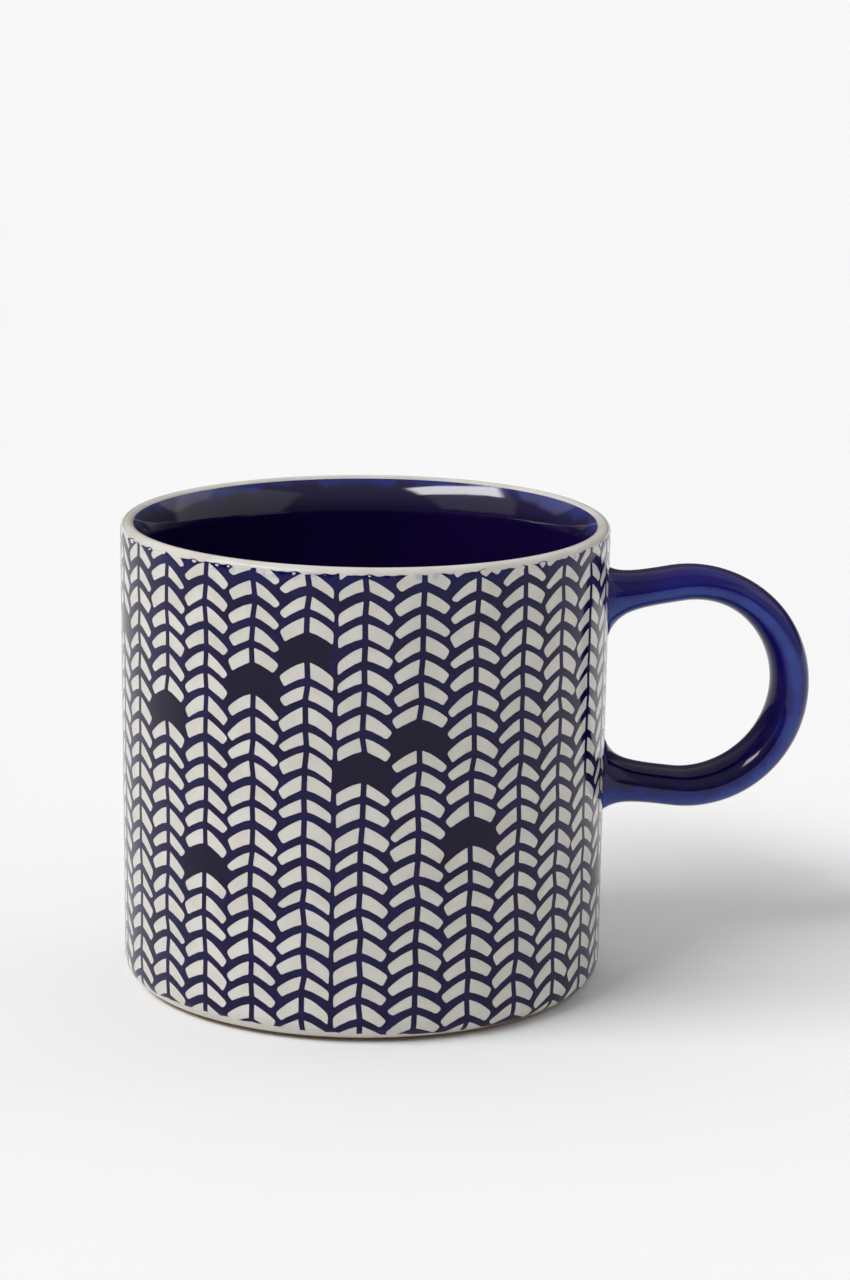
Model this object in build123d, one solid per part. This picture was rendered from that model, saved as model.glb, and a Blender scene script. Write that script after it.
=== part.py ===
from build123d import *

import math
import os

# A straight-sided stoneware mug with a ring handle, in millimetres.
# +Z is up, the foot stands on z = 0, the mug's axis is the Z axis and the handle points along +X.
# The clay body and the clay handle are joined by slip, and every glaze coat is a thin solid of its own.

# Driving dimensions of the body
height = 85.0            # foot to rim
rim_diameter = 88.0      # widest, across the glazed rim
taper = 0.5              # how much the outside radius grows from the foot to the rim
rim_width = 2.6          # across the rim's round crest, with its glaze
lip_radius = 11.2        # slower curve from the crest's inner shoulder down to the inside wall
corner_radius = 3.8      # rounded corner between the wall and the foot
foot_step = 0.5          # the rounded corner's lowest point above the table
foot_width = 3.4         # bare clay ring that the mug stands on
foot_edge = 0.35         # rounding on both edges of that ring
recess_depth = 1.6       # hollow inside the foot ring
recess_slope = 0.7       # how far the recess's side leans inwards
floor_height = 6.0       # inside floor above the table
floor_fillet = 8.0       # rounded corner between the inside wall and the floor

# Glaze and print
glaze = 0.45             # every glaze coat on the body
print_layer = 0.15       # printed pattern, under the outer glaze
print_bottom = 2.2       # lower edge of the printed band
print_top = 83.8         # upper edge of the printed band
rim_seam_angle = 141.0   # end of the crest's curve, from +X over its top: the lining meets the outer glaze here
foot_seam_angle = -72.0  # where the outer glaze stops on the rounded corner
handle_glaze_coat = 0.35

# Driving dimensions of the handle
ring_x = 60.0            # centre of the handle's ring, from the mug's axis
ring_z = 52.75           # centre of the handle's ring, above the table
ring_radius = 19.3       # to the middle of the handle's section
ring_end = 98.0          # the ring turns into a straight arm at this angle, above and below
slip_thickness = 1.0     # joining slip between a handle arm and the wall

# The handle's oval section at stations round the ring: angle, thickness, depth
ring_stations = [
    (98.0, 5.7, 10.6),
    (65.0, 5.5, 10.4),
    (33.0, 6.0, 10.4),
    (0.0, 6.2, 10.4),
    (-33.0, 6.5, 10.6),
    (-65.0, 6.6, 10.8),
    (-98.0, 6.3, 10.8),
]

# The arms flare where they meet the wall. Stations of an arm: distance outside the wall, negative inside it.
arm_stations = [7.5, 5.2, 3.5, 2.1, 0.9, -0.3, -2.0]
neck = 0.4               # how much thinner the arm grows on its way to the wall
flare = 7.2              # how much thicker the arm is right at the wall
flare_reach = 2.5        # distance over which the flare dies away by a factor of e
flare_end = -0.8         # inside the wall the flare stops growing here
flare_depth_share = 0.25  # the depth grows by this share of the thickness

# Profile of the glazed outside, worked out from the dimensions above.
# The outside wall is the line x * cos(lean) - z * sin(lean) = wall_line, tangent to the rim and the corner.
# Inside, the lip curve runs on from the crest's, so the wall below it is thicker than the rim.
lean = math.atan(taper / height)
rim_radius = rim_width / 2
rim_x = rim_diameter / 2 - rim_radius
rim_z = height - rim_radius
wall_line = rim_x * math.cos(lean) - rim_z * math.sin(lean) + rim_radius
lip_growth = lip_radius - rim_radius
lip_turn = math.pi - lean - math.radians(rim_seam_angle)
wall = rim_radius + lip_radius - lip_growth * math.cos(lip_turn)


def tangent_centre(radius, centre_z, wall_offset):
    """Centre of a circle of this radius that touches, from inside, the wall line moved inwards by wall_offset."""
    distance = wall_line - wall_offset - radius
    return (distance + centre_z * math.sin(lean)) / math.cos(lean)


corner_z = foot_step + corner_radius
corner_x = tangent_centre(corner_radius, corner_z, 0)
fillet_z = floor_height + floor_fillet
fillet_x = tangent_centre(floor_fillet, fillet_z, wall)
foot_outer = corner_x
foot_inner = foot_outer - foot_width
lean_degrees = math.degrees(lean)


def on_circle(centre_x, centre_z, radius, degrees):
    """Point of a profile circle, in the X-Z plane."""
    angle = math.radians(degrees)
    return (centre_x + radius * math.cos(angle), centre_z + radius * math.sin(angle))


def outer_corner(depth, degrees):
    """Point of the outside corner, this deep under the glazed surface."""
    return on_circle(corner_x, corner_z, corner_radius - depth, degrees)


def rim_point(depth, degrees):
    """Point of the rim, this deep under the glazed surface."""
    return on_circle(rim_x, rim_z, rim_radius - depth, degrees)


def lip_point(depth, degrees):
    """Point of the lip curve inside the rim, this deep under the glazed surface."""
    centre = on_circle(rim_x, rim_z, -lip_growth, rim_seam_angle)
    return on_circle(*centre, lip_radius - depth, degrees)


def inner_fillet(depth, degrees):
    """Point of the inside corner, this deep under the glazed surface."""
    return on_circle(fillet_x, fillet_z, floor_fillet + depth, degrees)


def profile_arc(point_on, depth, start, end):
    """Arc of the profile between two angles, this deep under the glazed surface."""
    return ThreePointArc(point_on(depth, start), point_on(depth, (start + end) / 2), point_on(depth, end))


def outside_line(depth, rim_end):
    """Outside of the mug from the foot seam up the wall and over the rim to the angle rim_end."""
    return [
        profile_arc(outer_corner, depth, foot_seam_angle, -lean_degrees),
        Line(outer_corner(depth, -lean_degrees), rim_point(depth, -lean_degrees)),
        profile_arc(rim_point, depth, -lean_degrees, rim_end),
    ]


def inside_line(depth):
    """Inside of the mug from the rim seam down the wall to the middle of the floor."""
    lip_end = 180 - lean_degrees
    floor_z = floor_height - depth
    return [
        profile_arc(lip_point, depth, rim_seam_angle, lip_end),
        Line(lip_point(depth, lip_end), inner_fillet(depth, -lean_degrees)),
        profile_arc(inner_fillet, depth, -lean_degrees, -90),
        Line((fillet_x, floor_z), (0, floor_z)),
    ]


def turned(edges):
    """Solid turned round the mug's axis from a closed profile in the X-Z plane."""
    face = make_face(Plane.XZ * Curve(edges))
    return revolve(face, Axis.Z)


def clay_body():
    """Cup wall, floor and foot ring, without any glaze."""
    foot = [
        Line((0, floor_height - glaze), (0, recess_depth)),
        Line((0, recess_depth), (foot_inner - recess_slope, recess_depth)),
        Line((foot_inner - recess_slope, recess_depth), (foot_inner, foot_edge)),
        TangentArc((foot_inner, foot_edge), (foot_inner + foot_edge, 0), tangent=(0, -1)),
        Line((foot_inner + foot_edge, 0), (foot_outer - foot_edge, 0)),
        TangentArc((foot_outer - foot_edge, 0), (foot_outer, foot_edge), tangent=(1, 0)),
        Line((foot_outer, foot_edge), outer_corner(glaze, -90)),
        profile_arc(outer_corner, glaze, -90, foot_seam_angle),
    ]
    return turned(foot + outside_line(glaze, rim_seam_angle) + inside_line(glaze))


def wall_envelope(depth):
    """Everything within the outside wall moved inwards by this depth, as one solid block."""
    low = outer_corner(depth, -lean_degrees)
    high = rim_point(depth, -lean_degrees)
    return turned([
        Line((0, low[1]), low),
        Line(low, high),
        Line(high, (0, high[1])),
        Line((0, high[1]), (0, low[1])),
    ])


def outer_coat():
    """Glaze on the outside wall and over the rim."""
    caps = [
        Line(rim_point(0, rim_seam_angle), rim_point(glaze, rim_seam_angle)),
        Line(outer_corner(glaze, foot_seam_angle), outer_corner(0, foot_seam_angle)),
    ]
    return turned(outside_line(0, rim_seam_angle) + outside_line(glaze, rim_seam_angle) + caps)


def inner_coat():
    """Glaze lining, from the rim's inner shoulder to the middle of the floor."""
    caps = [
        Line(rim_point(0, rim_seam_angle), rim_point(glaze, rim_seam_angle)),
        Line((0, floor_height), (0, floor_height - glaze)),
    ]
    return turned(inside_line(0) + inside_line(glaze) + caps)


def print_band():
    """Printed layer on the clay wall, from just above the foot to just below the rim."""
    depth = glaze - print_layer
    band = Pos(0, 0, (print_bottom + print_top) / 2) * Box(
        2 * rim_diameter, 2 * rim_diameter, print_top - print_bottom
    )
    skin = outside_line(depth, 90) + outside_line(glaze, 90) + [
        Line(rim_point(depth, 90), rim_point(glaze, 90)),
        Line(outer_corner(glaze, foot_seam_angle), outer_corner(depth, foot_seam_angle)),
    ]
    return turned(skin) & band


def base_coat():
    """Glaze on the roof of the recess inside the foot ring."""
    edge = foot_inner - recess_slope
    side = recess_slope * glaze / (recess_depth - foot_edge)
    low = recess_depth - glaze
    return turned([
        Line((0, recess_depth), (edge, recess_depth)),
        Line((edge, recess_depth), (edge + side, low)),
        Line((edge + side, low), (0, low)),
        Line((0, low), (0, recess_depth)),
    ])


def handle_section(degrees, beyond, thickness, depth):
    """Oval section of the handle, at an angle round the ring or this far beyond its end on a straight arm."""
    angle = math.radians(degrees)
    outward = Vector(math.cos(angle), 0, math.sin(angle))
    forward = Vector(-math.sin(angle), 0, math.cos(angle))
    centre = Vector(ring_x, 0, ring_z) + outward * ring_radius + forward * beyond
    return Plane(origin=centre, x_dir=outward, z_dir=forward) * Ellipse(thickness / 2, depth / 2)


def arm_section(side, outside, coat):
    """Section of the upper (side 1) or lower (side -1) arm, this far outside the wall."""
    angle, thickness, depth = ring_stations[0] if side > 0 else ring_stations[-1]
    end_x = ring_x + ring_radius * math.cos(math.radians(angle))
    arm_length = end_x - rim_diameter / 2
    beyond = (arm_length - outside) / math.sin(math.radians(ring_end))
    growth = flare * math.exp(-max(outside, flare_end) / flare_reach)
    thickness += growth - neck * (1 - outside / arm_length)
    depth += flare_depth_share * growth
    return handle_section(angle, side * beyond, thickness + 2 * coat, depth + 2 * coat)


def handle_blank(coat):
    """Whole handle with its arms run into the wall, thickened all round by a coat."""
    upper_arm = [arm_section(1, outside, coat) for outside in reversed(arm_stations)]
    ring = [
        handle_section(degrees, 0, thickness + 2 * coat, depth + 2 * coat)
        for degrees, thickness, depth in ring_stations
    ]
    lower_arm = [arm_section(-1, outside, coat) for outside in arm_stations]
    return loft(upper_arm + ring + lower_arm)


def upper_and_lower(shape):
    """The two separate solids of a shape, the upper one first."""
    solids = sorted(shape.solids(), key=lambda solid: solid.center().Z, reverse=True)
    return solids[0], solids[1]


def build_nodes():
    """Every sub-part of the mug, by node name."""
    clay = clay_body()
    clay_wall = wall_envelope(glaze)
    slip_wall = wall_envelope(glaze - slip_thickness)
    glazed_wall = wall_envelope(0)
    bare_handle = handle_blank(0)
    glazed_handle = handle_blank(handle_glaze_coat)
    printed = print_band()

    upper_slip, lower_slip = upper_and_lower(bare_handle & (slip_wall - clay_wall))
    return {
        "mug_body": clay,
        "handle": bare_handle - slip_wall,
        "upper_slip_joint": upper_slip,
        "lower_slip_joint": lower_slip,
        "inner_glaze": inner_coat(),
        "outer_glaze": outer_coat() - printed - bare_handle,
        "handle_glaze": glazed_handle - bare_handle - glazed_wall,
        "base_glaze": base_coat(),
        "knit_print": printed - bare_handle,
    }


os.makedirs("parts", exist_ok=True)
for name, shape in build_nodes().items():
    shape.label = name
    export_step(shape, f"parts/{name}.step")
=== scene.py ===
import math
import random

import bmesh
import bpy
import numpy as np
from mathutils import Matrix, Vector
from mathutils.geometry import delaunay_2d_cdt


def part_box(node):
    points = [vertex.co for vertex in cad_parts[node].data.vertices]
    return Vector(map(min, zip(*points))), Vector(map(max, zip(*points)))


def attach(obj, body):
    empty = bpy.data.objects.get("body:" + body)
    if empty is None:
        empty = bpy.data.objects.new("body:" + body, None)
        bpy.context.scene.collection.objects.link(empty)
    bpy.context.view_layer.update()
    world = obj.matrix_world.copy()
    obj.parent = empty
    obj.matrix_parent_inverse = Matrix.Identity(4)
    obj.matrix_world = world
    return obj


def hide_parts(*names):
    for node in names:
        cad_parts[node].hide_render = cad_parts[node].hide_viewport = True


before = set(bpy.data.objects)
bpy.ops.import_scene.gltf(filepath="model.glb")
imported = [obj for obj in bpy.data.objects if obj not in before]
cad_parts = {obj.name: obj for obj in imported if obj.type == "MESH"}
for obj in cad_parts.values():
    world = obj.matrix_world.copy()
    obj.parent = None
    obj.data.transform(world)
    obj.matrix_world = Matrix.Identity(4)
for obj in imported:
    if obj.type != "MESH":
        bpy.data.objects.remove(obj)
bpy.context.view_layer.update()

# A stoneware mug with a printed knit-stitch pattern, a cobalt lining and a cobalt ring handle.
# Everything is in metres, in the CAD model's frame: +Z up, the foot on z = 0, the handle along +X.

MM = 0.001
RANDOM = random.Random(11)

# Measures read from the frame
_, clay_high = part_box("mug_body")
_, coat_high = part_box("outer_glaze")
lining_low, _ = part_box("inner_glaze")
_, base_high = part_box("base_glaze")
_, handle_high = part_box("handle_glaze")

HEIGHT = coat_high.z
RIM_OUTER = coat_high.y
COAT = coat_high.z - clay_high.z
FLOOR_Z = lining_low.z + COAT
RECESS_Z = base_high.z
RECESS_RADIUS = base_high.y

# Shape of the cup, as in the CAD model
TAPER = 0.5 * MM
RIM_RADIUS = 1.3 * MM
LIP_RADIUS = 11.2 * MM
CORNER_RADIUS = 3.8 * MM
CORNER_Z = 4.3 * MM
FLOOR_FILLET = 8.0 * MM
RIM_SEAM = 141.0
FOOT_SEAM = -72.0
LEAN = math.atan(TAPER / HEIGHT)

# How finely the cup's surfaces are divided
AROUND = 256                      # segments round the cup
CORNER_STEPS = 14
WALL_STEPS = 60
RIM_STEPS = 22
LIP_STEPS = 14
FILLET_STEPS = 16
FLOOR_STEPS = 14


# ---------------------------------------------------------------- colour and node helpers

def srgb(red, green, blue):
    """Linear colour of an sRGB colour given from 0 to 255."""
    def linear(value):
        share = value / 255
        return share / 12.92 if share <= 0.04045 else ((share + 0.055) / 1.055) ** 2.4
    return (linear(red), linear(green), linear(blue), 1.0)


RANGE_ENDS = ("From Min", "From Max", "To Min", "To Max")


class Nodes:
    """A material's node tree, with short calls for the nodes that the glazes and clays share."""

    def __init__(self, name, specular=0.5):
        self.material = bpy.data.materials.new(name)
        self.material.use_nodes = True
        self.tree = self.material.node_tree
        self.tree.nodes.clear()
        self.shader = self.tree.nodes.new("ShaderNodeBsdfPrincipled")
        self.shader.inputs["Specular IOR Level"].default_value = specular
        output = self.tree.nodes.new("ShaderNodeOutputMaterial")
        self.link(self.shader.outputs["BSDF"], output.inputs["Surface"])
        self.coordinates = self.tree.nodes.new("ShaderNodeTexCoord").outputs["Object"]

    def link(self, source, target):
        self.tree.links.new(source, target)

    def noise(self, size, detail=3.0, rough=0.55, stretch=(1, 1, 1)):
        """Noise whose features are about this size in metres."""
        mapping = self.tree.nodes.new("ShaderNodeMapping")
        mapping.inputs["Scale"].default_value = stretch
        self.link(self.coordinates, mapping.inputs["Vector"])
        node = self.tree.nodes.new("ShaderNodeTexNoise")
        node.inputs["Scale"].default_value = 1 / size
        node.inputs["Detail"].default_value = detail
        node.inputs["Roughness"].default_value = rough
        self.link(mapping.outputs["Vector"], node.inputs["Vector"])
        return node.outputs["Fac"]

    def spots(self, size):
        """Distance to the nearest of scattered points that lie about this far apart."""
        node = self.tree.nodes.new("ShaderNodeTexVoronoi")
        node.inputs["Scale"].default_value = 1 / size
        self.link(self.coordinates, node.inputs["Vector"])
        return node.outputs["Distance"]

    def span(self, value, low, high, to_low=0.0, to_high=1.0):
        """Value between low and high, stretched smoothly to between to_low and to_high."""
        node = self.tree.nodes.new("ShaderNodeMapRange")
        node.interpolation_type = "SMOOTHSTEP"
        for name, number in zip(RANGE_ENDS, (low, high, to_low, to_high)):
            node.inputs[name].default_value = number
        self.link(value, node.inputs["Value"])
        return node.outputs["Result"]

    def height(self):
        """Height above the table, in metres."""
        node = self.tree.nodes.new("ShaderNodeSeparateXYZ")
        self.link(self.coordinates, node.inputs["Vector"])
        return node.outputs["Z"]

    def attribute(self, name):
        node = self.tree.nodes.new("ShaderNodeAttribute")
        node.attribute_name = name
        return node.outputs["Fac"]

    def math(self, operation, first, second):
        node = self.tree.nodes.new("ShaderNodeMath")
        node.operation = operation
        for socket, value in zip(node.inputs, (first, second)):
            if isinstance(value, (int, float)):
                socket.default_value = value
            else:
                self.link(value, socket)
        return node.outputs["Value"]

    def mix(self, share, first, second):
        """Mix of two colours, each a colour or a socket."""
        node = self.tree.nodes.new("ShaderNodeMix")
        node.data_type = "RGBA"
        self.link(share, node.inputs["Factor"])
        for socket, value in ((node.inputs["A"], first), (node.inputs["B"], second)):
            if isinstance(value, tuple):
                socket.default_value = value
            else:
                self.link(value, socket)
        return node.outputs["Result"]

    def colour(self, socket):
        self.link(socket, self.shader.inputs["Base Color"])

    def roughness(self, socket):
        self.link(socket, self.shader.inputs["Roughness"])

    def specular(self, socket):
        self.link(socket, self.shader.inputs["Specular IOR Level"])

    def bump(self, layers):
        """Bump from layers of (height socket, depth in metres)."""
        normal = None
        for height, depth in layers:
            node = self.tree.nodes.new("ShaderNodeBump")
            node.inputs["Strength"].default_value = 1.0
            node.inputs["Distance"].default_value = depth
            self.link(height, node.inputs["Height"])
            if normal is not None:
                self.link(normal, node.inputs["Normal"])
            normal = node.outputs["Normal"]
        self.link(normal, self.shader.inputs["Normal"])


def glaze_surface(nodes, gloss=(0.05, 0.11)):
    """What every glaze shares: a slow unevenness, a faint orange peel, pinholes and a varying gloss."""
    slow = nodes.noise(14 * MM, detail=2.0)
    peel = nodes.noise(1.6 * MM, detail=2.0)
    pinholes = nodes.span(nodes.spots(5.5 * MM), 0.03, 0.05)
    nodes.bump([(slow, 0.10 * MM), (peel, 0.002 * MM), (pinholes, 0.02 * MM)])
    nodes.roughness(nodes.span(nodes.noise(6 * MM), 0.35, 0.65, gloss[0], gloss[1]))


# ---------------------------------------------------------------- materials

PALE_SPECULAR = 0.22              # of the clear glaze, over the print as well


def pale_glaze():
    """Clear glaze over pale clay: warm white, faintly mottled, tinted by the print just below the rim."""
    nodes = Nodes("pale_glaze", specular=PALE_SPECULAR)
    mottle = nodes.span(nodes.noise(7 * MM, detail=4.0), 0.35, 0.65)
    white = nodes.mix(mottle, srgb(203, 199, 191), srgb(212, 208, 201))
    speck = nodes.span(nodes.spots(9 * MM), 0.035, 0.02)
    speckled = nodes.mix(nodes.math("MULTIPLY", speck, 0.35), white, srgb(150, 125, 95))
    height = nodes.height()
    near_print = nodes.math(
        "MULTIPLY",
        nodes.span(height, HEIGHT - 2.8 * MM, HEIGHT - 1.8 * MM),
        nodes.span(height, HEIGHT - 0.7 * MM, HEIGHT - 1.4 * MM),
    )
    smudge = nodes.span(nodes.noise(3.5 * MM, detail=3.0), 0.52, 0.66)
    bleed = nodes.math("MULTIPLY", nodes.math("MULTIPLY", near_print, smudge), 0.45)
    nodes.colour(nodes.mix(bleed, speckled, srgb(110, 130, 190)))
    glaze_surface(nodes)
    return nodes.material


def print_ink():
    """Cobalt print under the glaze: near navy, flatter in the filled stitches, bluer near the rim."""
    nodes = Nodes("print_ink", specular=PALE_SPECULAR)
    tone = nodes.span(nodes.noise(3 * MM, detail=3.0), 0.35, 0.65)
    line = nodes.mix(tone, srgb(12, 6, 50), srgb(20, 12, 64))
    filled = nodes.mix(nodes.attribute("filled"), line, srgb(15, 9, 40))
    height = nodes.height()
    run = nodes.span(nodes.noise(4 * MM, detail=2.0), 0.3, 0.7, -1.6 * MM, 1.6 * MM)
    near_rim = nodes.span(nodes.math("ADD", height, run), HEIGHT - 4.6 * MM, HEIGHT - 1.4 * MM)
    nodes.colour(nodes.mix(near_rim, filled, srgb(12, 8, 72)))
    glaze_surface(nodes)
    return nodes.material


def lining_glaze():
    """Dark cobalt lining, thin and bright blue where it runs off the rim, almost black where it pools."""
    nodes = Nodes("lining_glaze", specular=0.62)
    pool = nodes.span(nodes.height(), FLOOR_Z, FLOOR_Z + 12 * MM)
    wall = nodes.mix(nodes.noise(12 * MM), srgb(15, 5, 42), srgb(24, 9, 66))
    deep = nodes.mix(pool, srgb(9, 3, 26), wall)
    drips = nodes.noise(5 * MM, detail=2.0, stretch=(1, 1, 0.4))
    run = nodes.span(drips, 0.3, 0.7, -0.9 * MM, 0.9 * MM)
    thin = nodes.span(nodes.math("ADD", nodes.height(), run), HEIGHT - 2.6 * MM, HEIGHT - 0.8 * MM)
    nodes.colour(nodes.mix(thin, deep, srgb(30, 36, 112)))
    glaze_surface(nodes, gloss=(0.04, 0.09))
    return nodes.material


def handle_cobalt():
    """Cobalt glaze on the handle: bluer higher up, violet and duller at its edges, and lighter blue along
    its crown, which is partly thinner glaze and partly a painted reflection of the pale room.
    """
    nodes = Nodes("handle_cobalt")
    drift = nodes.span(nodes.noise(5 * MM, detail=3.0, stretch=(1, 1.6, 1)), 0.3, 0.7, -0.18, 0.18)
    crown = nodes.math("ADD", nodes.attribute("crown"), drift)
    rise = nodes.span(nodes.height(), RING_Z - 20 * MM, RING_Z + 20 * MM)
    pooled = nodes.mix(rise, srgb(15, 6, 58), srgb(20, 11, 96))
    # Lighter blue along the crown: partly thinner glaze, partly a painted reflection of the pale room
    thin_glaze_and_reflection = nodes.mix(nodes.span(crown, 0.0, 0.55), pooled, srgb(21, 25, 112))
    body = nodes.mix(nodes.span(crown, 0.4, 1.05), thin_glaze_and_reflection, srgb(33, 58, 138))
    edge = nodes.span(nodes.math("ADD", nodes.attribute("edge"), drift), 0.75, 1.1)
    nodes.colour(nodes.mix(edge, body, srgb(36, 18, 66)))
    nodes.specular(nodes.span(nodes.attribute("edge"), 0.45, 0.90, 0.36, 0.08))
    glaze_surface(nodes, gloss=(0.05, 0.10))
    return nodes.material


def bare_clay(name, light, dark):
    """Unglazed stoneware: sandy, with dark iron specks."""
    nodes = Nodes(name, specular=0.3)
    grain = nodes.span(nodes.noise(0.7 * MM, detail=5.0, rough=0.7), 0.3, 0.7)
    patch = nodes.span(nodes.noise(9 * MM), 0.3, 0.7)
    clay = nodes.mix(nodes.math("MULTIPLY", nodes.math("ADD", grain, patch), 0.5), dark, light)
    speck = nodes.span(nodes.spots(1.8 * MM), 0.16, 0.08)
    nodes.colour(nodes.mix(nodes.math("MULTIPLY", speck, 0.6), clay, srgb(70, 48, 32)))
    nodes.roughness(nodes.span(grain, 0.0, 1.0, 0.75, 0.95))
    nodes.bump([(grain, 0.03 * MM)])
    return nodes.material


def floor_paper():
    """Matt pale backdrop paper."""
    nodes = Nodes("floor_paper", specular=0.0)
    nodes.shader.inputs["Roughness"].default_value = 0.9
    nodes.colour(nodes.mix(nodes.noise(0.2, detail=2.0), srgb(246, 246, 247), srgb(248, 248, 248)))
    nodes.bump([(nodes.noise(1.5 * MM), 0.01 * MM)])
    return nodes.material


# ---------------------------------------------------------------- the cup's profile

def on_circle(centre, radius, degrees):
    angle = math.radians(degrees)
    return (centre[0] + radius * math.cos(angle), centre[1] + radius * math.sin(angle))


def arc(centre, radius, start, end, steps):
    """Points of an arc in the (radius, height) plane, both ends included."""
    return [on_circle(centre, radius, start + (end - start) * i / steps) for i in range(steps + 1)]


def divided(start, end, steps):
    """The start and the points between it and the end, which is left out."""
    return [
        (start[0] + (end[0] - start[0]) * i / steps, start[1] + (end[1] - start[1]) * i / steps)
        for i in range(steps)
    ]


def straight(start, end, steps):
    """Points between two points, both ends left out."""
    return divided(start, end, steps)[1:]


RIM_CENTRE = (RIM_OUTER - RIM_RADIUS, HEIGHT - RIM_RADIUS)
WALL_LINE = RIM_CENTRE[0] * math.cos(LEAN) - RIM_CENTRE[1] * math.sin(LEAN) + RIM_RADIUS


def touching_centre(radius, height, offset):
    """Centre, at this height, of a circle that touches the outside wall moved inwards by offset."""
    return ((WALL_LINE - offset - radius + height * math.sin(LEAN)) / math.cos(LEAN), height)


LIP_GROWTH = LIP_RADIUS - RIM_RADIUS
LIP_CENTRE = on_circle(RIM_CENTRE, -LIP_GROWTH, RIM_SEAM)
WALL = RIM_RADIUS + LIP_RADIUS - LIP_GROWTH * math.cos(math.pi - LEAN - math.radians(RIM_SEAM))
CORNER_CENTRE = touching_centre(CORNER_RADIUS, CORNER_Z, 0)
FILLET_CENTRE = touching_centre(FLOOR_FILLET, FLOOR_Z + FLOOR_FILLET, WALL)
LEAN_DEGREES = math.degrees(LEAN)


def outside_points(depth):
    """Outside of the cup this deep in the glaze, from the foot seam up and over to the rim seam."""
    corner = arc(CORNER_CENTRE, CORNER_RADIUS - depth, FOOT_SEAM, -LEAN_DEGREES, CORNER_STEPS)
    rim = arc(RIM_CENTRE, RIM_RADIUS - depth, -LEAN_DEGREES, RIM_SEAM, RIM_STEPS)
    return corner + straight(corner[-1], rim[0], WALL_STEPS) + rim


def inside_points(depth):
    """Inside of the cup this deep in the glaze, from the rim seam down to the middle of the floor."""
    lip = arc(LIP_CENTRE, LIP_RADIUS - depth, RIM_SEAM, 180 - LEAN_DEGREES, LIP_STEPS)
    fillet = arc(FILLET_CENTRE, FLOOR_FILLET + depth, -LEAN_DEGREES, -90, FILLET_STEPS)
    wall = straight(lip[-1], fillet[0], WALL_STEPS)
    middle = (0, FLOOR_Z - depth)
    floor = straight(fillet[-1], middle, FLOOR_STEPS) + [middle]
    return lip + wall + fillet + floor


OVAL = 0.0011                     # how oval the rim is, as a share of its radius
THREE_SIDED = 0.0005              # and how three-sided
RIM_DROP = 0.10 * MM              # half of how far the rim's lowest point has sunk


def settled(points):
    """The same points with the slight unevenness of a cup that has been through the kiln."""
    theta = np.arctan2(points[:, 1], points[:, 0])
    rise = np.clip(points[:, 2] / HEIGHT, 0, 1)
    uneven = OVAL * np.cos(2 * theta - 0.7) + THREE_SIDED * np.cos(3 * theta + 1.9)
    scale = 1 + uneven * rise
    drop = RIM_DROP * (np.sin(2 * theta + 0.4) - 1) * rise ** 3
    return np.column_stack((points[:, 0] * scale, points[:, 1] * scale, points[:, 2] + drop))


# ---------------------------------------------------------------- mesh helpers

def add_object(name, vertices, faces):
    mesh = bpy.data.meshes.new(name)
    mesh.from_pydata([tuple(v) for v in vertices], [], faces)
    mesh.validate()
    mesh.shade_smooth()
    piece = bpy.data.objects.new(name, mesh)
    bpy.context.scene.collection.objects.link(piece)
    return piece


TINY = 1e-7


def lathe(name, profile, closed):
    """Mesh turned from (radius, height) points. A closed profile joins its last point to its first."""
    angles = np.linspace(0, 2 * math.pi, AROUND, endpoint=False)
    vertices, rings = [], []
    for radius, height in profile:
        if radius < TINY:
            rings.append([len(vertices)] * AROUND)
            vertices.append((0.0, 0.0, height))
        else:
            rings.append(list(range(len(vertices), len(vertices) + AROUND)))
            vertices.extend((radius * math.cos(a), radius * math.sin(a), height) for a in angles)
    pairs = list(zip(rings, rings[1:]))
    if closed:
        pairs.append((rings[-1], rings[0]))
    faces = []
    for low, high in pairs:
        for i in range(AROUND):
            j = (i + 1) % AROUND
            corners = dict.fromkeys((low[i], low[j], high[j], high[i]))
            faces.append(list(corners))
    return add_object(name, settled(np.array(vertices)), faces)


def outward(piece):
    """Makes every face of a closed mesh point outwards."""
    work = bmesh.new()
    work.from_mesh(piece.data)
    bmesh.ops.recalc_face_normals(work, faces=work.faces)
    work.to_mesh(piece.data)
    work.free()
    return piece


def finish_piece(piece, material, slot, *nodes):
    piece.data.materials.clear()
    piece.data.materials.append(material)
    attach(piece, "root")
    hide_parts(*nodes)
    return piece


# ---------------------------------------------------------------- coats on the cup

INNER_GAP = 0.05 * MM             # the coats stop this far short of the clay
DRAWN_UP = 0.10 * MM              # how much deeper the recess's glaze is at its edge than in the middle
EDGE_BEAD = 0.22 * MM             # radius of the bead that the glaze ends in there


def sharpened(piece, angle=40):
    """Keeps the coat's seams crisp while its faces stay smooth."""
    piece.data.set_sharp_from_angle(angle=math.radians(angle))
    return piece


def outer_glaze_coat(material):
    profile = outside_points(0) + outside_points(COAT - INNER_GAP)[::-1]
    piece = outward(lathe("outer_glaze_coat", profile, closed=True))
    return finish_piece(sharpened(piece), material, "outer_glaze", "outer_glaze")


def inner_glaze_coat(material):
    depth = COAT - INNER_GAP
    profile = inside_points(0)[::-1] + inside_points(depth)
    piece = outward(lathe("inner_glaze_coat", profile, closed=False))
    return finish_piece(sharpened(piece), material, "lining_glaze", "inner_glaze")


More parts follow.
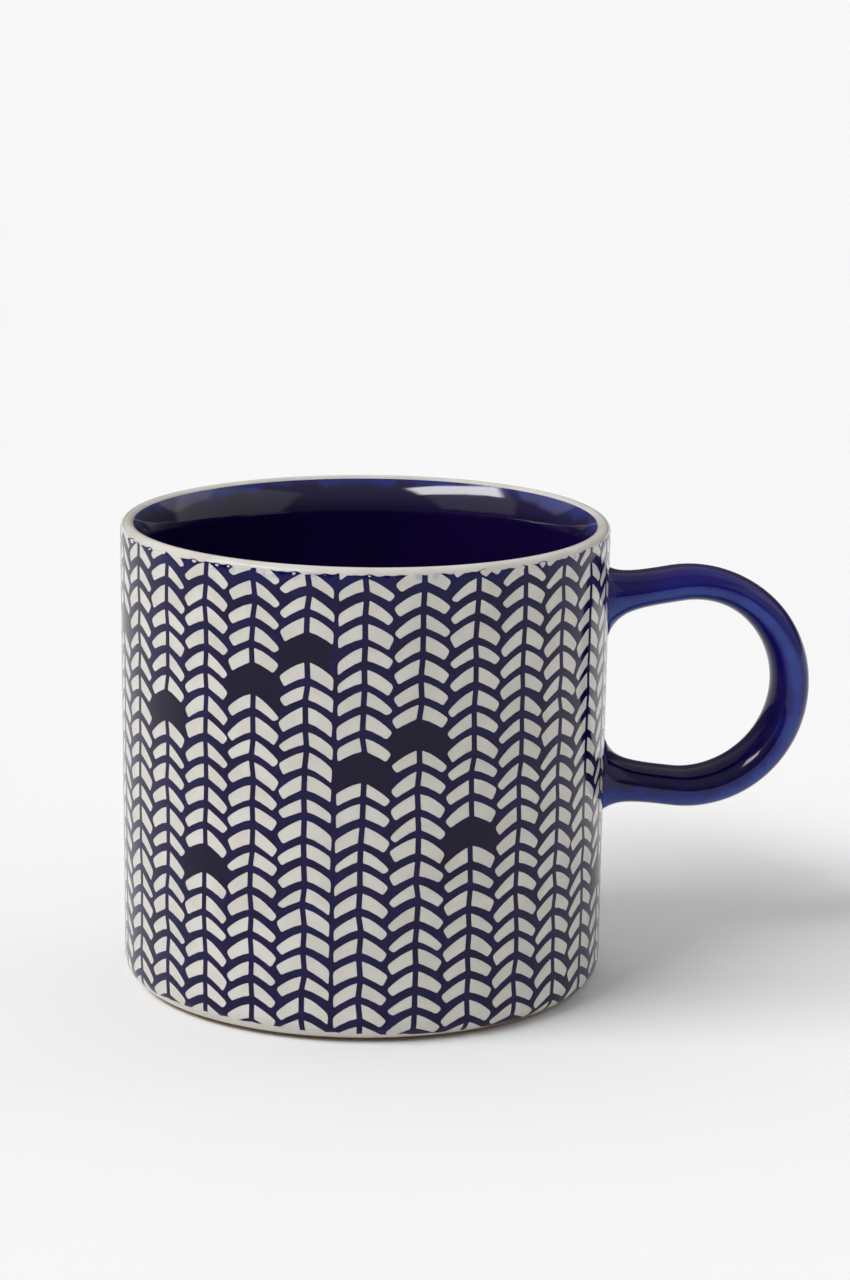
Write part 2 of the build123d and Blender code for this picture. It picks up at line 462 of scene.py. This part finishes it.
def base_glaze_coat(material):
    """Glaze in the recess inside the foot ring, thickest near its edge and thinner in the middle."""
    low = RECESS_Z - COAT
    top = RECESS_Z - INNER_GAP
    edge = RECESS_RADIUS
    shares = (0, 0.2, 0.4, 0.6, 0.8, 0.9, 0.96)
    profile = [(edge * share, low + DRAWN_UP * (1 - share ** 4)) for share in shares]
    profile += arc((edge - EDGE_BEAD, low + EDGE_BEAD), EDGE_BEAD, -90, 60, 6)
    profile += [(edge - 0.3 * MM, top), (0, top)]
    piece = outward(lathe("base_glaze_coat", profile, closed=False))
    return finish_piece(sharpened(piece, 60), material, "outer_glaze", "base_glaze")


# ---------------------------------------------------------------- the printed knit pattern

COLUMNS = 28                      # stitch columns round the cup
SHEETS = 2                        # printed sheets, with half of the columns each
SEAM_ANGLE = math.radians(-104.75)  # of the joint between the two sheets at the front, from +X
PRINT_LEAN = 0.75 * MM            # how far the sheets lean sideways over the cup's height
ROW = 3.99 * MM                   # height of a stitch
ROWS = 24                         # rows in each column, with those that the print's edges cut off
ROWS_ABOVE = 3                    # rows that a column starts above TOP_ROW, to run past the upper edge
TOP_ROW = (80.4 * MM, 80.9 * MM)  # height of a whole row near the top, on each sheet
FRONT_DROPS = (0.0, 0.60, 0.13, 0.65, 0.14)  # how many rows lower the first columns start
PRINT_TOP = 83.95 * MM
PRINT_BOTTOM = 0.5 * MM           # measured along the surface, so it lies on the rounded corner
BOTTOM_LIFT = 2.3 * MM            # how much higher than that its lower edge is at its highest
LOWEST_AT = math.radians(147)     # where it is lowest, round the cup from the front joint
RAGGED_TOP = 0.09 * MM            # height of each of the waves in the print's upper edge
RAGGED_BOTTOM = 0.05 * MM         # and in its lower edge
RAGGED_WAVES = ((23, 1.0), (41, 2.2), (67, 0), (109, 0))  # waves round the cup and where each starts
LINE = 1.34 * MM                  # width of a printed line
SWELL = 0.28                      # how much wider the lines are at the rim, as a share of LINE
SWELL_START = 3.2 * MM            # they start to widen this far below the print's upper edge
SWELL_LENGTH = 2.4 * MM           # and have widened fully this much higher
SLIVER = 0.7 * MM                 # cells that reach less than this far below PRINT_TOP are left out
CELL_BOTTOM = -1 * MM             # and so are cells that lie wholly below this
SPINE_HALF = 0.50 * MM            # half the width of a column's middle line
RELIEF = 0.03 * MM                # the print stands this proud of the glaze
SINK = 0.06 * MM                  # and reaches this far into it
CHEVRON_SLOPE = 0.27              # how steeply a stitch line falls away from its spine
CHEVRON_CURVE = 0.063 / MM        # and how much steeper it gets
CELL_TIP = 5.03 * MM              # outer end of a cell's upper edge, from the spine's middle
CELL_CUT = 1.02 * MM              # how far the lower end is cut back from it
JOINT_CUT = 0.12 * MM             # the same where a cell ends at a joint
JOINT_MARGINS = (0.28 * MM, 0.40 * MM)  # how far cells stay from a joint on their right and on their left
TIP_ROUNDING = 0.70 * MM
SPINE_ROUNDING = 0.18 * MM
GRID = 1.15 * MM                  # points this far apart let the net follow the wall
CORNER_GRID = 0.42 * MM           # and this far apart on the rounded corner
CORNER_EDGE = 0.45 * MM           # longest piece of a cell's outline there
BORDER_STEPS = 24                 # pieces of the band's upper and lower edge in each column
END_STEPS = 160                   # pieces of the flat band's two ends
CORNER_TOP = CORNER_Z + 1.0 * MM
SAME_POINT = 1e-6                 # points of the net's two ends that are closer than this are one
FILLED_REACH = 0.7 * LINE         # a filled stitch's colour reaches this far past the middles of its lines
FILLED_HALF = CELL_TIP + 0.2 * MM  # and this far from its spine
# Filled stitches: column, and height in mm of the stitch's middle at its spine
FILLED = {
    0: [50.4], 1: [56.0], 2: [37.3], 27: [70.4], 26: [64.8], 25: [29.8], 24: [57.0],
    6: [24], 7: [30], 9: [66], 10: [60], 12: [47], 13: [41], 16: [20], 18: [52], 19: [46],
    21: [33], 22: [70],
}

# The printed surface is the outside profile. Places on it are given by the distance along the profile, which
# is counted so that on the wall it is very nearly the height above the table.
TRACK = np.array(outside_points(0))
TRACK_LENGTH = np.concatenate(([0.0], np.cumsum(np.hypot(*np.diff(TRACK, axis=0).T))))
TRACK_LENGTH += CORNER_Z - TRACK_LENGTH[CORNER_STEPS]
PRINT_RADIUS = float(np.interp(HEIGHT / 2, TRACK_LENGTH, TRACK[:, 0]))
COLUMN = 2 * math.pi / COLUMNS * PRINT_RADIUS


def on_wall(flat, lift):
    """Points on the cup, and their normals, for flat points (distance round, distance up the profile).

    lift is how far the points stand off the surface."""
    lean = PRINT_LEAN * (flat[:, 1] / HEIGHT - 0.5)
    theta = SEAM_ANGLE + (flat[:, 0] + lean) / PRINT_RADIUS
    radius = np.interp(flat[:, 1], TRACK_LENGTH, TRACK[:, 0])
    height = np.interp(flat[:, 1], TRACK_LENGTH, TRACK[:, 1])
    out = np.interp(flat[:, 1], TRACK_LENGTH, np.gradient(TRACK[:, 1], TRACK_LENGTH))
    up = -np.interp(flat[:, 1], TRACK_LENGTH, np.gradient(TRACK[:, 0], TRACK_LENGTH))
    size = np.hypot(out, up)
    out, up = out / size, up / size
    radius = radius + lift * out
    points = np.column_stack((radius * np.cos(theta), radius * np.sin(theta), height + lift * up))
    normals = np.column_stack((out * np.cos(theta), out * np.sin(theta), up))
    return settled(points), normals


def chevron(distance, slope, curve):
    """How far a stitch line has dropped at this distance from its spine."""
    return slope * distance + curve * distance * distance


def rounded_corner(before, corner, after, radius, steps):
    """A corner replaced by a curve that starts and ends this far along its two edges."""
    def towards(target):
        step = Vector(target) - Vector(corner)
        return Vector(corner) + step * min(radius / max(step.length, TINY), 0.45)
    start, end, middle = towards(before), towards(after), Vector(corner)
    points = []
    for i in range(steps + 1):
        t = i / steps
        points.append(tuple((1 - t) ** 2 * start + 2 * t * (1 - t) * middle + t * t * end))
    return points


def cell_outline(spine_top, spine_bottom, top, bottom, limit):
    """Outline of one open cell right of its spine, as (distance from the spine, height) points.

    spine_top and spine_bottom are the spine's own sideways drift. top and bottom are the heights of the
    stitch lines at the spine. limit is the furthest that the cell may reach, where it ends at a joint."""
    jitter = RANDOM.uniform
    slope = CHEVRON_SLOPE + jitter(-0.06, 0.06)
    lower_slope = CHEVRON_SLOPE + jitter(-0.06, 0.06)
    curve = CHEVRON_CURVE * jitter(0.75, 1.25)
    tip = min(CELL_TIP + jitter(-0.14, 0.08) * MM, limit)
    cut = CELL_CUT * jitter(0.9, 1.12) if tip < limit else JOINT_CUT
    near_rim = min(max((top - PRINT_TOP + SWELL_START) / SWELL_LENGTH, 0), 1)
    half = LINE / 2 * (jitter(0.90, 1.08) + SWELL * near_rim)

    def edge(distance, height, steepness, side):
        """Height of a stitch line's upper edge, side 1, or lower edge, side -1, at this distance."""
        steep = steepness + 2 * curve * distance
        return height - chevron(distance, steepness, curve) + side * half * math.hypot(1, steep)

    inner_top = (spine_top + SPINE_HALF, edge(SPINE_HALF, top, slope, -1))
    inner_bottom = (spine_bottom + SPINE_HALF, edge(SPINE_HALF, bottom, lower_slope, 1))
    outer_top = (tip, edge(tip, top, slope, -1))
    outer_bottom = (tip - cut, edge(tip - cut, bottom, lower_slope, 1))
    middle = 0.5 * (SPINE_HALF + tip)
    crown = [(d, edge(d, top, slope, -1)) for d in (0.62 * middle, middle, 1.42 * middle)]
    lower_middle = 0.5 * (SPINE_HALF + tip - cut)
    hollow = [(d, edge(d, bottom, lower_slope, 1)) for d in (1.35 * lower_middle, 0.65 * lower_middle)]
    outline = rounded_corner(inner_bottom, inner_top, crown[0], SPINE_ROUNDING, 2)
    outline += crown
    outline += rounded_corner(crown[-1], outer_top, outer_bottom, TIP_ROUNDING * jitter(0.7, 1.3), 4)
    outline += rounded_corner(outer_top, outer_bottom, hollow[0], TIP_ROUNDING * jitter(0.45, 0.9), 3)
    outline += hollow
    outline += rounded_corner(hollow[-1], inner_bottom, inner_top, SPINE_ROUNDING, 2)
    return outline


def print_ends(across):
    """Lower and upper edge of the print at this distance round the cup: neither is level nor clean."""
    theta = across / PRINT_RADIUS
    ragged = sum(math.sin(waves * theta + start) for waves, start in RAGGED_WAVES)
    lift = math.sin(0.5 * (theta - LOWEST_AT)) ** 8
    return PRINT_BOTTOM + BOTTOM_LIFT * lift + RAGGED_BOTTOM * ragged, PRINT_TOP + RAGGED_TOP * ragged


def column_lines(column):
    """Heights at which a column's stitch lines meet its spine, from the top, and its drift at each."""
    sheet, place = divmod(column, COLUMNS // SHEETS)
    drop = (0.5 if (place + sheet) % 2 else 0) + RANDOM.uniform(-0.06, 0.06)
    if column < len(FRONT_DROPS):
        drop = FRONT_DROPS[column]
    start = TOP_ROW[sheet] + (ROWS_ABOVE - drop) * ROW
    lines = [start - ROW * row + RANDOM.uniform(-0.2, 0.2) * MM for row in range(ROWS + 1)]
    return lines, [RANDOM.uniform(-0.28, 0.28) * MM for _ in lines]


def filled_rows(column, lines):
    """Rows of a column whose stitches are filled in."""
    middles = [(high + low) / 2 for high, low in zip(lines, lines[1:])]
    return {
        min(range(len(middles)), key=lambda row: abs(middles[row] - height * MM))
        for height in FILLED.get(column, [])
    }


def knit_cells():
    """Flat outlines of the pattern's open cells, and each filled stitch's spine, upper and lower line."""
    cells, filled = [], []
    per_sheet = COLUMNS // SHEETS
    for column in range(COLUMNS):
        place = column % per_sheet
        middle = (column + 0.5) * COLUMN
        lines, drift = column_lines(column)
        full = filled_rows(column, lines)
        filled += [(middle, lines[row], lines[row + 1]) for row in full]
        for row in range(ROWS):
            for side, margin, end_place in zip((1, -1), JOINT_MARGINS, (per_sheet - 1, 0)):
                gap = RANDOM.uniform(-0.1, 0.1) * MM
                limit = COLUMN / 2 - (margin + gap) if place == end_place else COLUMN
                outline = cell_outline(
                    side * drift[row], side * drift[row + 1], lines[row] + gap, lines[row + 1] + gap, limit
                )
                if row not in full:
                    turned = [(middle + side * x, y) for x, y in outline]
                    cells.append(turned[::-1] if side > 0 else turned)
    return cells, filled


def subdivided(outline, longest):
    """The same outline with extra points, so that it can follow the rounded corner."""
    points = []
    for start, end in zip(outline, outline[1:] + outline[:1]):
        points += divided(start, end, max(1, math.ceil(math.dist(start, end) / longest)))
    return points


def print_border(length):
    """Outline of the whole printed band, anticlockwise."""
    steps = COLUMNS * BORDER_STEPS
    low, high = print_ends(0)
    across = [length * i / steps for i in range(steps)]
    border = [(x, print_ends(x)[0]) for x in across]
    border += divided((length, low), (length, high), END_STEPS)
    border += [(length - x, print_ends(length - x)[1]) for x in across]
    border += divided((0, high), (0, low), END_STEPS)
    return border


def knit_print_net(material):
    """The printed lines: the printed band less its open cells, as a thin closed skin on the wall."""
    length = COLUMNS * COLUMN
    cells, filled = knit_cells()
    points = print_border(length)
    loops = [list(range(len(points)))]
    for outline in cells:
        lowest = min(y for _, y in outline)
        highest = max(y for _, y in outline)
        if highest < CELL_BOTTOM or lowest > PRINT_TOP - SLIVER:
            continue
        if lowest < CORNER_TOP:
            outline = subdivided(outline, CORNER_EDGE)
        loops.append(list(range(len(points), len(points) + len(outline))))
        points.extend(outline)
    levels = [j * CORNER_GRID for j in range(1, int(CORNER_TOP / CORNER_GRID))]
    levels += [CORNER_TOP + j * GRID for j in range(int((PRINT_TOP - CORNER_TOP) / GRID))]
    for j, level in enumerate(levels):
        points += [(i * GRID + 0.3 * GRID * (j % 2), level) for i in range(1, int(length / GRID))]
    flat, _, faces, _, _, origins = delaunay_2d_cdt([Vector(p) for p in points], [], loops, 0, TINY)
    kept = [face for face, origin in zip(faces, origins) if list(origin) == [0]]
    return net_piece(np.array([tuple(p) for p in flat]), kept, filled, length, material)


def in_filled(flat, triangles, filled):
    """For each triangle, 1 where it lies in a filled stitch or in the lines next to it."""
    centres = flat[np.array(triangles)].mean(axis=1)
    shade = np.zeros(len(triangles))
    for middle, top, bottom in filled:
        distance = np.abs(centres[:, 0] - middle)
        level = centres[:, 1] + chevron(distance, CHEVRON_SLOPE, CHEVRON_CURVE)
        between = (level < top + FILLED_REACH) & (level > bottom - FILLED_REACH)
        shade[between & (distance < FILLED_HALF)] = 1
    return list(shade)


def net_piece(flat, triangles, filled, length, material):
    """Wraps the flat net round the wall and gives it an outer face, an inner face and edges."""
    # the two ends of the flat net are the same line on the cup, so their points are shared
    at_start = np.where(np.abs(flat[:, 0]) < SAME_POINT)[0]
    at_end = np.where(np.abs(flat[:, 0] - length) < SAME_POINT)[0]
    same = {}
    for i in at_end:
        nearest = at_start[np.argmin(np.abs(flat[at_start, 1] - flat[i, 1]))]
        if abs(flat[nearest, 1] - flat[i, 1]) < SAME_POINT:
            same[int(i)] = int(nearest)
    triangles = [[same.get(i, i) for i in t] for t in triangles]
    used = sorted({i for t in triangles for i in t})
    number = {old: new for new, old in enumerate(used)}
    triangles = [[number[i] for i in t] for t in triangles]
    flat = flat[used]
    count = len(flat)
    shades = in_filled(flat, triangles, filled)
    outer, normals = on_wall(flat, RELIEF)
    inner, _ = on_wall(flat, -SINK)
    directed = {(t[i], t[(i + 1) % 3]) for t in triangles for i in range(3)}
    edge_faces = [(b, a, a + count, b + count) for a, b in directed if (b, a) not in directed]
    faces = [tuple(t) for t in triangles]
    faces += [tuple(i + count for i in reversed(t)) for t in triangles]
    faces += edge_faces
    mesh = bpy.data.meshes.new("knit_print_net")
    mesh.from_pydata([tuple(p) for p in np.vstack((outer, inner))], [], faces)
    mesh.shade_smooth()
    shade = mesh.attributes.new("filled", "FLOAT", "FACE")
    shade.data.foreach_set("value", shades + shades + [0.0] * len(edge_faces))
    # the two faces take the wall's own normals, so that the thin net shades as smoothly as the glaze
    loop_normals = []
    for polygon in mesh.polygons:
        if polygon.index < len(triangles):
            loop_normals += [tuple(normals[v]) for v in polygon.vertices]
        elif polygon.index < 2 * len(triangles):
            loop_normals += [tuple(-normals[v - count]) for v in polygon.vertices]
        else:
            loop_normals += [tuple(polygon.normal)] * len(polygon.vertices)
    mesh.normals_split_custom_set(loop_normals)
    piece = bpy.data.objects.new("knit_print_net", mesh)
    bpy.context.scene.collection.objects.link(piece)
    return finish_piece(piece, material, "print", "knit_print")


# ---------------------------------------------------------------- the handle

HANDLE_COAT = 0.35 * MM
RING_RADIUS = 19.3 * MM
HALF_THICKNESS = 3.1 * MM         # of the handle's clay, where it is furthest from the cup
RING_X = handle_high.x - RING_RADIUS - HALF_THICKNESS - HANDLE_COAT
RING_Z = 52.75 * MM
RING_END = 98.0                   # degrees up and down from +X, where the ring passes into its arms
# angle round the ring, thickness in its plane and depth across it in mm, before the coat
RING_STATIONS = ((98, 5.7, 10.6), (65, 5.5, 10.4), (33, 6.0, 10.4), (0, 6.2, 10.4),
                 (-33, 6.5, 10.6), (-65, 6.6, 10.8), (-98, 6.3, 10.8))
NECK = 0.4 * MM                   # how much thinner an arm is at the wall, before it flares
FLARE = 7.2 * MM                  # how much thicker the flare makes it at the wall
FLARE_REACH = 2.5 * MM            # how fast it fades away from the wall
FLARE_DEPTH_SHARE = 0.25          # its share of that across the handle's depth
FLARE_INSIDE = 0.8 * MM           # the flare goes on growing this far into the wall
ARM_INSIDE = 1.6 * MM             # the coat runs this far into the wall, out of sight
SWAY = 0.16 * MM                  # how far the ring wanders out of its plane
SWAY_REACH = 6 * MM               # and over what length that fades along the arms
ARM_STEPS = 34
RING_STEPS = 110
SECTION_POINTS = 72
OVAL_POWER = 2.12                 # 2 is an ellipse, more is squarer
CROWN_MIDDLE = 0.09               # the glaze is thinnest, with a painted reflection on it, on a line a little outside the section's middle
CROWN_SHIFT = -0.36               # that thin, lighter line, partly painted reflection, lies below the middle on both arms
CROWN_WIDTH = 0.37                # and it is this wide, as a share of half the handle's thickness


def eased(x, xs, ys):
    """Smooth curve through the points (xs, ys), with xs rising."""
    xs, ys = np.array(xs, float), np.array(ys, float)
    slopes = np.gradient(ys, xs)
    i = int(np.clip(np.searchsorted(xs, x) - 1, 0, len(xs) - 2))
    width = xs[i + 1] - xs[i]
    t = float(np.clip((x - xs[i]) / width, 0, 1))
    return (
        (1 + 2 * t) * (1 - t) ** 2 * ys[i] + t * (1 - t) ** 2 * width * slopes[i]
        + t * t * (3 - 2 * t) * ys[i + 1] - t * t * (1 - t) * width * slopes[i + 1]
    )


def handle_stations():
    """Along the handle from the upper arm down: centre, outward direction, thickness, depth and crown."""
    wall = RIM_OUTER
    end_x = RING_X + RING_RADIUS * math.cos(math.radians(RING_END))
    arm_length = end_x - wall
    arm_run = (arm_length + ARM_INSIDE) / math.sin(math.radians(RING_END))
    angles, thicknesses, depths = zip(*sorted(RING_STATIONS))
    places = [(RING_END, arm_run * (1 - i / ARM_STEPS)) for i in range(ARM_STEPS)]
    places += [(RING_END - 2 * RING_END * i / RING_STEPS, 0.0) for i in range(RING_STEPS + 1)]
    places += [(-RING_END, -arm_run * (i + 1) / ARM_STEPS) for i in range(ARM_STEPS)]
    stations = []
    for degrees, beyond in places:
        angle = math.radians(degrees)
        out = Vector((math.cos(angle), 0, math.sin(angle)))
        forward = Vector((-math.sin(angle), 0, math.cos(angle)))
        centre = Vector((RING_X, 0, RING_Z)) + out * RING_RADIUS + forward * beyond
        outside = max(centre.x - wall, -FLARE_INSIDE)
        growth = FLARE * math.exp(-outside / FLARE_REACH)
        thinning = NECK * (1 - outside / arm_length) if beyond else 0
        thick = eased(degrees, angles, thicknesses) * MM + growth - thinning + 2 * HANDLE_COAT
        deep = eased(degrees, angles, depths) * MM + FLARE_DEPTH_SHARE * growth + 2 * HANDLE_COAT
        centre.y += SWAY * math.sin(angle * 1.7 + 0.5) * math.exp(-abs(beyond) / SWAY_REACH)
        stations.append((centre, out, thick, deep, CROWN_MIDDLE + CROWN_SHIFT * out.z))
    return stations


def rounded_share(share):
    """A sine or cosine on the section's rounded square in place of a circle."""
    return math.copysign(abs(share) ** (2 / OVAL_POWER), share)


def handle_glaze_coat(material):
    """The coat, with how near each point lies to the crown and to the section's inner or outer edge."""
    stations = handle_stations()
    vertices, crown, edge = [], [], []
    for centre, out, thick, deep, crest in stations:
        for i in range(SECTION_POINTS):
            turn = 2 * math.pi * i / SECTION_POINTS
            outwards = math.cos(turn)
            across = rounded_share(outwards) * thick / 2
            side = rounded_share(math.sin(turn)) * deep / 2
            vertices.append(tuple(centre + out * across + Vector((0, side, 0))))
            crown.append(math.exp(-((outwards - crest) / CROWN_WIDTH) ** 2))
            edge.append(abs(outwards))
    faces = []
    n = SECTION_POINTS
    for row in range(len(stations) - 1):
        for i in range(n):
            j = (i + 1) % n
            faces.append((row * n + i, row * n + j, (row + 1) * n + j, (row + 1) * n + i))
    faces.append(tuple(range(n)))
    faces.append(tuple(range((len(stations) - 1) * n, len(stations) * n)))
    piece = add_object("handle_glaze_coat", vertices, faces)
    for name, values in (("crown", crown), ("edge", edge)):
        attribute = piece.data.attributes.new(name, "FLOAT", "POINT")
        attribute.data.foreach_set("value", values)
    return finish_piece(sharpened(outward(piece), 60), material, "handle_glaze", "handle_glaze")


# ---------------------------------------------------------------- the part

def build_part():
    pale = pale_glaze()
    clay = bare_clay("bare_clay", srgb(216, 182, 138), srgb(176, 138, 98))
    slip = bare_clay("joining_slip", srgb(196, 162, 122), srgb(156, 120, 86))
    outer_glaze_coat(pale)
    inner_glaze_coat(lining_glaze())
    base_glaze_coat(pale)
    handle_glaze_coat(handle_cobalt())
    knit_print_net(print_ink())
    for name, material in (
        ("mug_body", clay), ("handle", clay), ("upper_slip_joint", slip), ("lower_slip_joint", slip),
    ):
        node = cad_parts[name]
        node.data.materials.clear()
        node.data.materials.append(material)


# ---------------------------------------------------------------- camera, light and floor

CAMERA_AZIMUTH = -8.0             # degrees, from looking along +Y
CAMERA_ELEVATION = 14.6
CAMERA_DISTANCE = 0.700           # from the middle of the cup
CAMERA_ASIDE = 0.90               # degrees that the camera looks to the right of the cup
CAMERA_ABOVE = 1.60               # degrees that it looks above the cup's middle
CAMERA_ROLL = 0.49                # degrees
LENS = 107.9


def direction(azimuth, elevation):
    """Unit vector from the cup towards something at this azimuth, from -Y towards +X, and elevation."""
    a, e = math.radians(azimuth), math.radians(elevation)
    return Vector((math.sin(a) * math.cos(e), -math.cos(a) * math.cos(e), math.sin(e)))


def turned(first, second, degrees):
    """Two unit vectors at right angles, turned in their own plane, the first towards the second."""
    c, s = math.cos(math.radians(degrees)), math.sin(math.radians(degrees))
    return first * c + second * s, second * c - first * s


def make_camera():
    data = bpy.data.cameras.new("camera")
    data.lens = LENS
    data.sensor_width = 36.0
    data.clip_start = 0.01
    data.clip_end = 50
    camera = bpy.data.objects.new("camera", data)
    bpy.context.scene.collection.objects.link(camera)
    towards = direction(CAMERA_AZIMUTH, CAMERA_ELEVATION)
    middle = Vector((0, 0, HEIGHT / 2))
    look = -direction(CAMERA_AZIMUTH, CAMERA_ELEVATION - CAMERA_ABOVE)
    right = look.cross(Vector((0, 0, 1))).normalized()
    up = right.cross(look)
    look, right = turned(look, right, CAMERA_ASIDE)
    right, up = turned(right, up, CAMERA_ROLL)
    rotation = Matrix((right, up, -look)).transposed().to_4x4()
    camera.matrix_world = Matrix.Translation(middle + towards * CAMERA_DISTANCE) @ rotation
    bpy.context.scene.camera = camera


WINDOW_SOFTNESS = 0.12            # a window's edge fades over this share of its half size, each way


def window(tree, towards, azimuth, elevation, half_width, half_height):
    """How much of a soft-edged rectangular window is seen in a direction. Half sizes are tangents."""
    centre = direction(azimuth, elevation)
    right = Vector((0, 0, 1)).cross(centre).normalized()
    up = centre.cross(right)

    def node(kind, operation, first, second):
        made = tree.nodes.new(kind)
        made.operation = operation
        for socket, value in zip(made.inputs, (first, second)):
            if isinstance(value, bpy.types.NodeSocket):
                tree.links.new(value, socket)
            else:
                socket.default_value = value
        return made

    def along(axis):
        return node("ShaderNodeVectorMath", "DOT_PRODUCT", towards, axis).outputs["Value"]

    ahead = along(centre)
    seen = node("ShaderNodeMath", "GREATER_THAN", ahead, 0.05).outputs[0]
    for axis, half in ((right, half_width), (up, half_height)):
        share = node("ShaderNodeMath", "DIVIDE", along(axis), ahead).outputs[0]
        share = node("ShaderNodeMath", "ABSOLUTE", share, 0.0).outputs[0]
        edge = tree.nodes.new("ShaderNodeMapRange")
        edge.interpolation_type = "SMOOTHSTEP"
        edge.inputs["From Min"].default_value = half * (1 + WINDOW_SOFTNESS)
        edge.inputs["From Max"].default_value = half * (1 - WINDOW_SOFTNESS)
        tree.links.new(share, edge.inputs["Value"])
        seen = node("ShaderNodeMath", "MULTIPLY", seen, edge.outputs["Result"]).outputs[0]
    return seen


# azimuth, elevation, half width, half height, brightness added to the room's
WINDOWS = (
    (-67, 45, 0.40, 0.125, 14.2),  # bright window, front left: it casts the shadow
    (-72, 32, 0.45, 0.40, 0.50),   # pale wall round it
    (74, 22, 0.75, 0.45, 0.52),    # pale wall on the right
    (172, 52, 1.70, 0.45, 0.60),   # soft light behind, above the picture
)
# between the sines of two elevations, the room's light rises from the third value to the fourth
ROOM_RANGE = (0.10, 0.80, 0.11, 0.49)


def make_world():
    """Room that is dim low down and brighter overhead, with its windows."""
    world = bpy.data.worlds.new("room")
    world.use_nodes = True
    tree = world.node_tree
    tree.nodes.clear()
    towards = tree.nodes.new("ShaderNodeTexCoord").outputs["Generated"]
    parts = tree.nodes.new("ShaderNodeSeparateXYZ")
    room = tree.nodes.new("ShaderNodeMapRange")
    background = tree.nodes.new("ShaderNodeBackground")
    output = tree.nodes.new("ShaderNodeOutputWorld")
    for name, number in zip(RANGE_ENDS, ROOM_RANGE):
        room.inputs[name].default_value = number
    tree.links.new(towards, parts.inputs["Vector"])
    tree.links.new(parts.outputs["Z"], room.inputs["Value"])
    light = room.outputs["Result"]
    for azimuth, elevation, half_width, half_height, brightness in WINDOWS:
        seen = window(tree, towards, azimuth, elevation, half_width, half_height)
        add = tree.nodes.new("ShaderNodeMath")
        add.operation = "MULTIPLY_ADD"
        tree.links.new(seen, add.inputs[0])
        add.inputs[1].default_value = brightness
        tree.links.new(light, add.inputs[2])
        light = add.outputs["Value"]
    tree.links.new(light, background.inputs["Strength"])
    tree.links.new(background.outputs["Background"], output.inputs["Surface"])
    bpy.context.scene.world = world


FLOOR_SIZE = 24                   # metres, so that its edge is far out of the picture
FLOOR_CELLS = 24


def make_floor():
    bpy.ops.mesh.primitive_grid_add(x_subdivisions=FLOOR_CELLS, y_subdivisions=FLOOR_CELLS, size=FLOOR_SIZE)
    floor = bpy.context.object
    floor.name = "floor"
    floor.data.materials.append(floor_paper())


def make_studio():
    make_camera()
    make_world()
    make_floor()
    view = bpy.context.scene.view_settings
    view.view_transform = "Standard"
    view.look = "None"
    view.exposure = 0.0


make_studio()
build_part()
